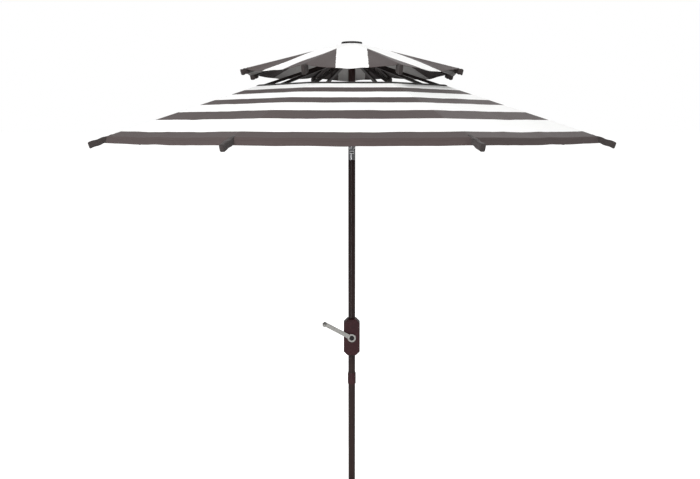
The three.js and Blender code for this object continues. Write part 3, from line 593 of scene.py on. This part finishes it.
main_rings = np.concatenate([np.linspace(OPENING, HEM - 4 * MM, 44),
                             HEM + SKIRT_OUT * np.array([-0.2, 0.05, 0.2, 0.4, 0.6, 0.8, 1])])
upper_rings = np.concatenate([np.linspace(FLAT, UPPER_HEM - 22 * MM, 32),
                              np.linspace(UPPER_HEM - 20 * MM, UPPER_HEM, 4)])
rib_length = (TIP - MAIN_PIVOT[0] - RIB_MIDDLE * math.sin(MAIN_SLOPE)) / math.cos(MAIN_SLOPE)
vent_length = (UPPER_TIP - VENT_PIVOT[0] - VENT_RIB_MIDDLE * math.sin(VENT_SLOPE)) / math.cos(VENT_SLOPE)


def main_sag(ring):
    """Sag at mid-panel: 4 mm at the hem, falling with the square of the distance to the opening."""
    return 4 * MM * ((ring - OPENING) / (HEM - OPENING)) ** 2


def upper_sag(ring):
    """Sag at mid-panel: 20 mm at the hem, almost straight from the flat top."""
    return 20 * MM * ((ring - FLAT) / (UPPER_HEM - FLAT)) ** 1.3


def main_hang(ring):
    """The hanging hem: nothing up to the crest, then a fall that starts round and runs straight down."""
    past = np.clip((ring - HEM) / SKIRT_OUT, 0, 1)
    return SKIRT_DROP * (past - 0.12 * np.sin(math.pi * past))


def no_hang(ring):
    """The upper canopy's hem ends without a hanging part."""
    return 0 * ring


def main_waves(ring):
    """Height of the slow waves in the taut main canopy: under a millimetre, least at the opening."""
    return 0.9 * MM * ((ring - OPENING) / (HEM - OPENING)) ** 0.5


def upper_waves(ring):
    """Height of the waves in the slacker upper canopy: 3 mm, none at the crown."""
    return 3.0 * MM * np.clip((ring - FLAT) / 0.2, 0, 1)


for k in range(RIBS):
    number = k + 1
    body = f"main_rib_{number}"
    # Each gore's under face takes the darker copy of the cloth, painted shade.
    points, faces, uv, middle, which, top = gore(k, main_rings, column_places(), main_hip, main_sag, 0,
                                                 main_waves, main_hang, 24 * MM)
    main_gore = piece(f"main_gore_{number}", points, faces, [main_cloth, main_under_painted_shade], body,
                      uv, middle, which)
    binding = tape(f"vent_binding_{number}", k, top[0], top[3] - top[0], body, 20 * MM, 9 * MM,
                   binding_tape)
    sleeve = pocket(f"rib_pocket_{number}", k, MAIN_PIVOT, MAIN_SLOPE, rib_length - 0.118,
                    rib_length + 2.5 * MM, 11.5 * MM, -7 * MM, 25.5 * MM, body, 0.18, 40 + k)
    for each in (main_gore, binding):
        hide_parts("main_canopy")
        fold_with_runner(each)

    body = f"vent_rib_{number}"
    points, faces, uv, middle, which, top = gore(k, upper_rings, column_places(), upper_hip, upper_sag, 1,
                                                 upper_waves, no_hang, 20 * MM)
    upper_gore = piece(f"upper_gore_{number}", points, faces, [upper_cloth, upper_under_painted_shade], body,
                       uv, middle, which)
    sleeve = pocket(f"vent_rib_pocket_{number}", k, VENT_PIVOT, VENT_SLOPE, vent_length - 0.042,
                    vent_length + 2 * MM, 9.5 * MM, -34 * MM if k in FRONT else -15 * MM,
                    15.5 * MM, body, 0.1, 60 + k)
    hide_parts("upper_canopy")
    fold_with_runner(upper_gore)

# The flat middle of the upper canopy, an eight-sided piece of the same cloth clamped under the cap.
flat_turn = azimuth(0) + np.arange(2 * RIBS) * HALF
flat_reach = np.where(np.arange(2 * RIBS) % 2 == 0, 1, math.cos(HALF))
flat_rows = [(HOLE, FLAT_TOP), (FLAT, FLAT_TOP), (FLAT, FLAT_TOP - CLOTH), (HOLE, FLAT_TOP - CLOTH),
             (HOLE, FLAT_TOP)]
points = np.array([np.stack([r * flat_reach * np.cos(flat_turn), r * flat_reach * np.sin(flat_turn),
                             z + 0 * flat_turn], -1) for r, z in flat_rows]).reshape(-1, 3)
crown = piece("upper_crown_cloth", points, grid_faces(5, 2 * RIBS, wrap=True), [upper_cloth], "top",
              points[:, :2] + [0, FLAT], 0 * points[:, 0], sharp=30)
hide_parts("upper_canopy")

# ---------- hard pieces ----------
# The frame's material slots and the coats they get.
finishes = {
    "pole_paint": powder_coat, "housing_plastic": housing_plastic, "black_plastic": black_nylon,
    "rib_steel": rib_coat, "bright_steel": bright_steel, "reel_steel": zinc, "chrome": chrome,
    "grey_plastic": grey_plastic, "cord": cord_braid,
}
slot_of = {part["node"]: part["material_slot"] for part in frame["record"]["subparts"]}
ROUND = ["foot_plug", "lower_pole", "pole_joiner", "snap_button", "pole_collar", "middle_pole",
         "crank_housing_front", "crank_housing_rear", "reel_spindle", "cord_winding", "crank_arm",
         "crank_cap", "crank_knob", "tilt_socket", "tilt_knuckle", "tilt_pin", "tilt_button",
         "top_pole", "pulley", "main_hub", "runner", "vent_hub", "finial_cap", "lift_cord_lower",
         "lift_cord_upper"]


def refined(name, width):
    """A smooth-shaded stand-in for a hard node: its own mesh, merged, flat faces joined, its round
    faces shaded as one and its corners eased by a small bevel."""
    source = frame["nodes"][name]
    mesh = source.data.copy()
    work = bmesh.new()
    work.from_mesh(mesh)
    bmesh.ops.remove_doubles(work, verts=work.verts, dist=1e-6)
    bmesh.ops.dissolve_limit(work, angle_limit=math.radians(0.5), verts=work.verts, edges=work.edges)
    work.to_mesh(mesh)
    work.free()
    mesh.materials.clear()
    mesh.materials.append(finishes[slot_of[name]])
    mesh.polygons.foreach_set("use_smooth", [True] * len(mesh.polygons))
    mesh.set_sharp_from_angle(angle=math.radians(28))
    made = bpy.data.objects.new(name + "_skin", mesh)
    bpy.context.scene.collection.objects.link(made)
    if width:
        ease = made.modifiers.new("eased_edges", "BEVEL")
        ease.width, ease.segments = width, 2
        ease.limit_method, ease.angle_limit = "ANGLE", math.radians(40)
        ease.harden_normals = True
    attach(made, source["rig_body"])
    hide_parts(name)
    return made


for name in ROUND:
    refined(name, {"crank_housing_front": 0.8 * MM, "crank_housing_rear": 0.8 * MM,
                   "crank_arm": 0.9 * MM, "tilt_button": 0.8 * MM}.get(name, 0))
# The channel-shaped pieces are shown as they come from the frame, in their coats.
for name, cad in frame["nodes"].items():
    if not cad.hide_render:
        cad.data.materials.clear()
        cad.data.materials.append(finishes[slot_of[name]])


def fastener(name, body, at, facing, radius, height, cross):
    """A domed head on a face: rings of points that draw in and rise from a short rim to a small flat
    top. A screw also has a cross of two thin dark bars set flush in its top."""
    at, facing = np.asarray(at, float), np.asarray(facing, float)
    side = np.cross(facing, [0, 0, 1.0])
    side /= np.linalg.norm(side)
    up = np.cross(side, facing)
    turn = np.linspace(0, 2 * math.pi, 20, endpoint=False)
    spoke = radius * (np.outer(np.cos(turn), side) + np.outer(np.sin(turn), up))
    dome = [(1, 0), (1, 0.35), (0.92, 0.62), (0.75, 0.84), (0.5, 0.96), (0.22, 1)]
    points = np.concatenate([at + facing * height * lift + spoke * share for share, lift in dome])
    last = len(points)
    faces = [*grid_faces(len(dome), 20, wrap=True), list(range(20))[::-1], list(range(last - 20, last))]
    piece(name, points, faces, [zinc], body, sharp=50)
    if cross:
        bar = oval(0.62 * radius, 0.14 * radius, 8, 12)
        depths = [at + facing * height * 0.8, at + facing * height * 1.02]
        for number, (wide, narrow) in enumerate(((side, up), (up, -side)), 1):
            points, faces = swept(depths, [wide, wide], [narrow, narrow], bar)
            piece(f"{name}_slot_{number}", points, faces, [black_nylon], body)


# Four screws close the housing from behind; a rivet head shows on each cheek of each strut bracket.
corners = [(x * 35 * MM, HOUSING_BACK, HOUSING_Z + z * 72.5 * MM) for x in (1, -1) for z in (1, -1)]
for number, corner in enumerate(corners, 1):
    fastener(f"housing_screw_{number}", "mast", corner, (0, 1, 0), 4 * MM, 1.8 * MM, True)
for k in range(RIBS):
    radius, height = along_rib(MAIN_PIVOT, MAIN_SLOPE, STRUT_STATION, 0)
    for end, side in ((-1, "left"), (1, "right")):
        fastener(f"strut_rivet_{side}_{k + 1}", f"main_rib_{k + 1}",
                 round_z([radius, end * CHEEK_OUT, height], azimuth(k)), round_z([0, end, 0], azimuth(k)),
                 4.2 * MM, 1.6 * MM, False)

# The lift cord's fall from the pulley to the runner, straight and taut.
heights = np.linspace(FALL_TOP, FALL_FOOT, 60)
centres = np.stack([0 * heights, FALL_Y + 0 * heights, heights], -1)
points, faces = swept(centres, np.tile([1, 0, 0], (60, 1)), np.tile([0, 1, 0], (60, 1)),
                      oval(CORD_RADIUS, CORD_RADIUS, 2, 12))
fall = piece("lift_cord_fall_line", points, faces, [cord_braid], "top")
fall.parent = None
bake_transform(fall)
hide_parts("lift_cord_fall")

# ---------- stage ----------
REACH = 900  # metres of floor each way, so that its edge lies on the horizon
floor_mesh = bpy.data.meshes.new("studio_floor")
floor_mesh.from_pydata([(x * REACH, y * REACH, -1 * MM) for x, y in ((-1, -1), (1, -1), (1, 1), (-1, 1))],
                       [], [(0, 1, 2, 3)])
floor = bpy.data.objects.new("studio_floor", floor_mesh)
bpy.context.scene.collection.objects.link(floor)
# Matt white studio floor paint. A glow that is seen in full but lights the piece very little keeps the
# floor as pale as the backdrop.
floor_paint, tree, shader = coat("matt_white_floor", "#F8F8F7", Roughness=0.9)
shader.inputs["Emission Color"].default_value = linear("#FFFFFF")
seen = node(tree, "ShaderNodeLightPath").outputs["Is Camera Ray"]
level = node(tree, "ShaderNodeMapRange", {"Value": seen, "To Min": 0.05, "To Max": 0.8})
tree.links.new(level.outputs["Result"], shader.inputs["Emission Strength"])
floor_mesh.materials.append(floor_paint)
